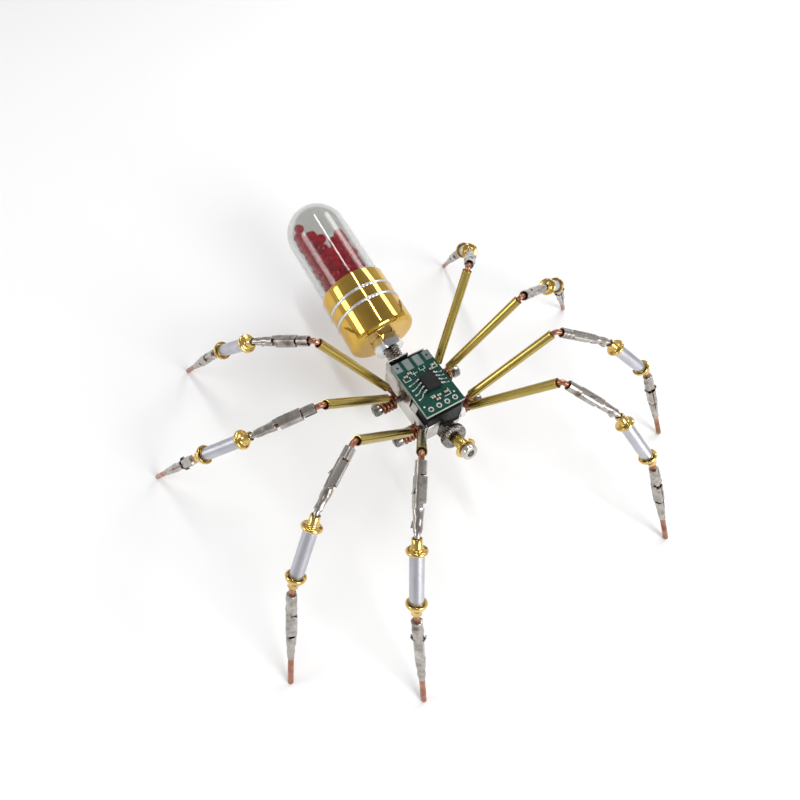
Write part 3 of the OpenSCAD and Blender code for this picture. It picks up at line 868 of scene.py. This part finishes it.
def make_head():
    """A nut, a knurled ring and a brass sleeve on a socket screw, with a flange behind its head."""
    builder = bmesh.new()
    thread(builder, HEAD, 1.2, 0.45, 0.15, 0.0, 10.5)
    lathe(builder, HEAD, [
        (0, 10.4), (1.95, 10.4), (2.15, 10.5), (2.2, 10.75), (2.2, 11.9), (2.05, 12.25), (1.8, 12.4),
        (1.15, 12.4), (1.02, 12.25), (0.98, 11.2), (0, 11.0)], closed=False)
    finish_piece(builder, "socket_screw", "nickel", BODY, ["head_screw"], smooth=35)
    builder = bmesh.new()
    hex_nut(builder, HEAD, 5.5, 1.25, 1.1, 3.2, chamfer=0.3)
    finish_piece(builder, "head_nut_plated", "steel", BODY, ["head_nut"], smooth=25)

    teeth = 30
    tooth = 0.3
    cut_from = 3.3

    def knurl(a, z, r):
        return r - (tooth * (0.5 + 0.5 * math.cos(teeth * a)) if r > cut_from else 0.0)

    builder = bmesh.new()
    lathe(builder, HEAD, [
        (1.25, 3.3), (3.0, 3.3), (3.2, 3.4), (3.6, 3.65), (3.7, 3.9), (3.7, 5.1), (3.6, 5.4),
        (3.2, 5.65), (2.6, 5.7), (2.3, 5.45), (1.25, 5.45)], sides=teeth * 6, shape=knurl)
    finish_piece(builder, "knurled_ring", "steel", BODY, ["head_knurled_ring"], smooth=35)
    builder = bmesh.new()
    lathe(builder, HEAD, [
        (1.25, 5.75), (1.5, 5.75), (1.65, 5.9), (1.65, 7.4), (1.65, 9.2), (1.5, 9.45), (1.25, 9.45)])
    finish_piece(builder, "brass_sleeve", "tube", BODY, ["head_sleeve"], smooth=35)
    builder = bmesh.new()
    lathe(builder, HEAD, [
        (1.25, 9.5), (2.3, 9.5), (2.75, 9.6), (2.96, 9.75), (3.0, 10.0), (2.85, 10.25), (2.5, 10.35),
        (1.25, 10.35)])
    finish_piece(builder, "brass_flange", "eyelet", BODY, ["head_flange"], smooth=40)


make_head()


# ---- thorax

HOLE_PITCH = 2.54
LEAD_PITCH = 1.27


def on_board(x, y, z=0.0):
    """A point measured from the middle of the board's top face."""
    return Vector((MIDDLE_X + x, y, BOARD_HIGH.z + z))


def slab(builder, x0, x1, y0, y1, z0, z1):
    """A box on the board, in its own coordinates."""
    block(builder, Matrix.Translation(on_board(0, 0)), (x0, y0, z0), (x1, y1, z1))


def strip(builder, points, width, thick=0.035):
    """A flat track along a line of points on the board."""
    for (ax, ay), (bx, by) in zip(points, points[1:]):
        way = Vector((bx - ax, by - ay, 0))
        turn = Matrix.Rotation(math.atan2(way.y, way.x), 4, "Z")
        place = Matrix.Translation(on_board(ax, ay)) @ turn
        block(builder, place, (-width / 2, -width / 2, 0), (way.length + width / 2, width / 2, thick))


def make_shell():
    """Thin sheet bent up on all sides, with a tall rear corner, a bent tab and a low front."""
    sheet = 0.4
    low = SHELL_LOW
    high = SHELL_HIGH
    wall_top = high.z + 0.7
    front_top = 20.6
    step_x = MIDDLE_X + 1.4
    inset = 0.3
    builder = bmesh.new()
    flat = Matrix.Identity(4)
    # a trough: floor and both side walls in one bend
    soft = 1.3
    half = high.y
    profile = []
    for trim in (0.0, sheet):
        r = soft - trim
        side = [(-(half - trim), front_top)]
        side += [(-half + soft - r * math.cos(t), low.z + soft - r * math.sin(t))
                 for t in (math.radians(15 * i) for i in range(7))]
        side += [(half - soft + r * math.sin(t), low.z + soft - r * math.cos(t))
                 for t in (math.radians(15 * i) for i in range(7))]
        side += [(half - trim, front_top)]
        profile += side if trim == 0.0 else list(reversed(side))
    # the profile's x runs to the spider's left and its y upwards, and it is pulled forwards
    turned = Matrix(((0, 0, 1, 0), (1, 0, 0, 0), (0, 1, 0, 0), (0, 0, 0, 1)))
    prism(builder, turned, profile, low.x + inset, high.x - inset)
    # taller side walls at the back on the right, and along most of the left
    seam = front_top - 0.05
    block(builder, flat, (low.x + inset, low.y, seam), (step_x, low.y + sheet, wall_top))
    block(builder, flat, (low.x + inset, high.y - sheet, seam), (high.x - 3.6, high.y, wall_top))
    # the rear wall, with its tall corner on the right behind the pads
    corner_y = 0.6
    block(builder, flat, (low.x, low.y - 0.1, low.z + soft),
          (low.x + sheet, corner_y, BOARD_HIGH.z + 0.15))
    block(builder, flat, (low.x, low.y - 0.1, wall_top - 0.05),
          (low.x + 2.0, low.y + sheet - 0.1, BOARD_HIGH.z + 0.05))
    block(builder, flat, (low.x, corner_y, low.z + soft), (low.x + sheet, high.y, wall_top))
    # the front wall: higher on the right, with its flange turned in, and lower on the left
    front_y = -1.6
    block(builder, flat, (high.x - sheet, low.y + 0.5, low.z + soft), (high.x, front_y, front_top))
    block(builder, flat, (high.x - 1.2, low.y + 0.4, front_top - 0.02),
          (high.x, front_y, front_top + sheet))
    block(builder, flat, (high.x - sheet, front_y, low.z + soft),
          (high.x, high.y - 0.5, low.z + 3.4))
    # the tab bent out of the right wall
    tab = (Matrix.Translation((step_x + 0.4, low.y + 0.15, front_top))
           @ Matrix.Rotation(math.radians(-14), 4, "X"))
    block(builder, tab, (0, -sheet / 2, 0), (2.6, sheet / 2, 3.0))
    # a doubled lip along the low part of the right wall
    block(builder, flat, (step_x, low.y - 0.16, front_top - 0.9),
          (high.x - inset, low.y + 0.02, front_top + 0.1))
    finish_piece(builder, "sheet_shell", "nickel", BODY, ["thorax_shell"], smooth=40, bevel=0.1)
    # the slots are not cut through the sheet: thin black blocks on the side walls' outer faces are
    # painted shade standing for the openings
    slot_shade = bmesh.new()
    z0, z1 = 15.2, 17.4
    for x0 in (MIDDLE_X - 8.0, MIDDLE_X + 4.6):
        x1 = x0 + 0.7
        block(slot_shade, flat, (x0, low.y - 0.02, z0), (x1, low.y + 0.1, z1))
        block(slot_shade, flat, (x0, high.y - 0.1, z0), (x1, high.y + 0.02, z1))
    finish_piece(slot_shade, "shell_slot_shade", "black", BODY)


def make_chip():
    """A small-outline chip: moulded body with drafted sides, and bent leads on two sides."""
    middle = Vector((0.4, 0.5))
    length, width, height = 5.0, 4.6, 1.4
    builder = bmesh.new()
    rows = ((0.12, 0.1), (0.75, 0.0), (height, 0.28))
    layers = []
    for z, inset in rows:
        x = length / 2 - inset
        y = width / 2 - inset
        corners = ((-x, -y), (x, -y), (x, y), (-x, y))
        spots = [on_board(middle.x + a, middle.y + b, z) for a, b in corners]
        layers.append([builder.verts.new(spot) for spot in spots])
    for low, high in zip(layers, layers[1:]):
        for i in range(4):
            j = (i + 1) % 4
            builder.faces.new((low[i], low[j], high[j], high[i]))
    builder.faces.new(list(reversed(layers[0])))
    builder.faces.new(layers[-1])
    finish_piece(builder, "chip_body", "black", BODY, ["board_chip"], smooth=20, bevel=0.06)
    leads = bmesh.new()
    for i in range(4):
        x0 = middle.x + (i - 1.5) * LEAD_PITCH - 0.2
        x1 = x0 + 0.4
        for side in (-1, 1):
            y0 = middle.y + side * (width / 2 - 0.15)
            y1 = middle.y + side * (width / 2 + 0.4)
            y2 = middle.y + side * (width / 2 + 0.88)
            knee_y = y1 + side * 0.16
            slab(leads, x0, x1, min(y0, y1), max(y0, y1), 0.62, 0.8)
            slab(leads, x0, x1, min(y1, knee_y), max(y1, knee_y), 0.04, 0.8)
            slab(leads, x0, x1, min(y1, y2), max(y1, y2), 0.04, 0.22)
    finish_piece(leads, "chip_leads", "silver", BODY, bevel=0.04)


def make_tinned():
    """Tinned pads, two of them with a hole drawn as a black disc, partly painted shade, ringed holes,
    and the tracks from the chip.
    """
    builder = bmesh.new()
    pads = bmesh.new()
    thick = 0.05
    for y0, y1, x1 in ((-5.9, -3.7, -6.0), (-2.6, -0.5, -5.5), (0.6, 2.7, -5.5), (3.8, 5.9, -6.0)):
        slab(pads, -9.0, x1, y0, y1, 0, thick)
    for i in range(4):
        y = (i - 1.5) * HOLE_PITCH
        ring = Matrix.Translation(on_board(7.5, y))
        lathe(builder, ring, [(0.46, -0.02), (0.46, thick), (0.76, thick), (0.76, -0.02)], sides=28)
        start = 0.4 + (i - 1.5) * LEAD_PITCH
        end = 1.3 + (i - 1.5) * 1.6
        strip(builder, [(start, -2.3), (start + 0.1, -2.8), (end - 0.15, -3.9), (end, -4.8)], 0.2)
        dot = Matrix.Translation(on_board(end, -4.9))
        lathe(builder, dot, [(0, thick), (0.24, thick), (0.24, 0), (0, 0)], sides=16, closed=False)
        slab(builder, start - 0.2, start + 0.2, -2.5, -2.0, 0, thick)
        slab(builder, start - 0.2, start + 0.2, 3.8, 4.2, 0, thick)
        slab(builder, start + 0.25, start + 0.55, 5.0, 5.35, 0, thick)
        strip(builder, [(start, 4.0), (start + 0.3, 4.5), (start + 0.4, 5.1)], 0.13)
    finish_piece(builder, "tinned_tracks", "silver", BODY, smooth=30)
    finish_piece(pads, "tinned_pads", "tin", BODY, smooth=30)
    # the pad holes are not cut: black discs stand for them, the black of the part beneath and painted
    # shade inside the holes
    holes = bmesh.new()
    for y in (-4.7, 4.7):
        spot = Matrix.Translation(on_board(-7.5, y))
        lathe(holes, spot, [(0, 0.02), (0.36, 0.02), (0.36, 0.07), (0, 0.07)], sides=20, closed=False)
    finish_piece(holes, "pad_hole_shade", "black", BODY)


def make_print():
    """White outlines round the small parts, and a dot by each outer hole; no lettering."""
    builder = bmesh.new()
    line = 0.13
    thick = 0.03
    for points in (
            [(-3.9, -5.2), (-2.6, -5.2), (-2.6, -3.4), (-3.6, -3.4)],
            [(-5.0, -2.2), (-4.0, -2.2), (-4.0, -0.6)],
            [(-4.5, -1.6), (-3.2, -1.6)],
            [(-4.9, 0.4), (-4.0, 0.4), (-4.0, 2.0), (-4.9, 2.0)],
            [(-4.0, 1.2), (-3.2, 1.2)],
            [(-4.6, 5.3), (-3.0, 5.3), (-3.0, 3.9), (-4.4, 3.9)],
            [(4.2, 3.6), (6.0, 3.6), (6.0, 1.6)],
            [(4.3, -1.9), (4.3, -0.6)]):
        strip(builder, points, line, thick)
    for x, y in ((5.9, 4.6), (6.1, -5.0)):
        slab(builder, x - 0.2, x + 0.2, y - 0.2, y + 0.2, 0, thick)
    finish_piece(builder, "white_marks", "print", BODY)


def make_small_parts():
    """Chip resistors and capacitors, tan in the middle with tinned ends."""
    bodies = bmesh.new()
    ends = bmesh.new()
    parts = ((-4.0, -4.3), (-4.6, -2.9), (-3.0, 3.2), (-3.9, 4.6), (5.0, 0.4), (5.0, 2.6),
             (4.9, -1.3), (5.9, -0.4))
    for x, y in parts:
        slab(bodies, x - 0.28, x + 0.28, y - 0.32, y + 0.32, 0.05, 0.45)
        for side in (-1, 1):
            y0 = y + side * 0.3
            y1 = y + side * 0.56
            slab(ends, x - 0.3, x + 0.3, min(y0, y1), max(y0, y1), 0.02, 0.48)
    finish_piece(bodies, "part_bodies", "tan", BODY, ["board_parts"], bevel=0.04)
    finish_piece(ends, "part_ends", "silver", BODY, bevel=0.06)


def dress_cad_nodes():
    """The CAD nodes that stay in view get their materials and softened edges."""
    for name, material in (("thorax_block", MAT["black"]), ("board_pad", MAT["black"]),
                           ("circuit_board", board_material(BOARD_HIGH.z * MM))):
        node = frame["nodes"][name]
        node.data.materials.clear()
        node.data.materials.append(material)
        edge = node.modifiers.new("edge", "BEVEL")
        edge.width = 0.06 * MM
        edge.segments = 2
        edge.limit_method = "ANGLE"


make_shell()
make_chip()
make_tinned()
make_print()
make_small_parts()
dress_cad_nodes()


# ---- camera, floor and light

CAMERA_AT = Vector((61.31, -56.76, 148.82)) * MM
CAMERA_YAW = math.radians(-39.43)
CAMERA_LIFT = math.radians(58.69)
CAMERA_ROLL = math.radians(8.34)
CAMERA_LENS = 24.94


def make_camera():
    """Looks down on the spider from ahead and to its right."""
    back = Vector((math.cos(CAMERA_YAW) * math.cos(CAMERA_LIFT),
                   math.sin(CAMERA_YAW) * math.cos(CAMERA_LIFT), math.sin(CAMERA_LIFT)))
    level = (-back).cross(Vector((0, 0, 1))).normalized()
    over = level.cross(-back)
    right = math.cos(CAMERA_ROLL) * level + math.sin(CAMERA_ROLL) * over
    up = -math.sin(CAMERA_ROLL) * level + math.cos(CAMERA_ROLL) * over
    data = bpy.data.cameras.new("camera")
    data.lens = CAMERA_LENS
    data.sensor_width = 36.0
    data.clip_start = 0.005
    camera = bpy.data.objects.new("camera", data)
    bpy.context.scene.collection.objects.link(camera)
    basis = Matrix((right, up, back)).transposed().to_4x4()
    camera.matrix_world = Matrix.Translation(CAMERA_AT) @ basis
    bpy.context.scene.camera = camera


def add_softbox(name, place, target, width, height, power):
    """A white area light, in metres and watts, turned to a target."""
    data = bpy.data.lights.new(name, "AREA")
    data.shape = "RECTANGLE"
    data.size = width
    data.size_y = height
    data.energy = power
    light = bpy.data.objects.new(name, data)
    bpy.context.scene.collection.objects.link(light)
    way = Vector(target) - Vector(place)
    light.matrix_world = Matrix.Translation(place) @ way.to_track_quat("-Z", "Y").to_matrix().to_4x4()


def make_floor():
    """A plain pale table top."""
    size = 3.0
    builder = bmesh.new()
    bmesh.ops.create_grid(builder, x_segments=1, y_segments=1, size=size)
    mesh = bpy.data.meshes.new("floor")
    builder.to_mesh(mesh)
    builder.free()
    floor = bpy.data.objects.new("floor", mesh)
    bpy.context.scene.collection.objects.link(floor)
    material, tree, shader = new_material("pale_floor")
    shader.inputs["Roughness"].default_value = 0.9
    tint = noise(tree, FLOOR_TINT)
    colour = ramp(tree, tint.outputs["Fac"], [
        (NOISE_LOW, (0.93, 0.93, 0.925)), (NOISE_HIGH, (0.95, 0.95, 0.945))])
    tree.links.new(colour.outputs["Color"], shader.inputs["Base Color"])
    mesh.materials.append(material)


def make_light():
    """A grey room, darker overhead, with a thin strip above, a window on each side and a box ahead.

    None of them stands where the board's flat top would mirror it to the camera.
    """
    world = bpy.data.worlds.new("studio")
    world.use_nodes = True
    tree = world.node_tree
    shade = tree.nodes["Background"]
    shade.inputs["Strength"].default_value = 1.0
    coords = tree.nodes.new("ShaderNodeTexCoord")
    split = tree.nodes.new("ShaderNodeSeparateXYZ")
    tree.links.new(coords.outputs["Generated"], split.inputs["Vector"])
    room = ramp(tree, split.outputs["Z"], [
        (0.0, (0.68, 0.68, 0.69)), (0.35, (0.58, 0.58, 0.59)), (0.7, (0.38, 0.38, 0.39)),
        (1.0, (0.28, 0.28, 0.29))])
    tree.links.new(room.outputs["Color"], shade.inputs["Color"])
    bpy.context.scene.world = world
    middle = (-0.03, 0, 0.03)
    add_softbox("overhead_strip", (-0.20, 0.03, 0.50), middle, 0.022, 0.36, 0.6)
    add_softbox("left_window", (-0.20, -0.50, 0.24), middle, 0.30, 0.16, 0.7)
    add_softbox("right_window", (-0.16, 0.42, 0.36), middle, 0.40, 0.13, 1.0)
    add_softbox("front_box", (0.50, 0.10, 0.30), middle, 0.30, 0.30, 2.3)


make_camera()
make_floor()
make_light()
bpy.context.scene.view_settings.view_transform = "Standard"
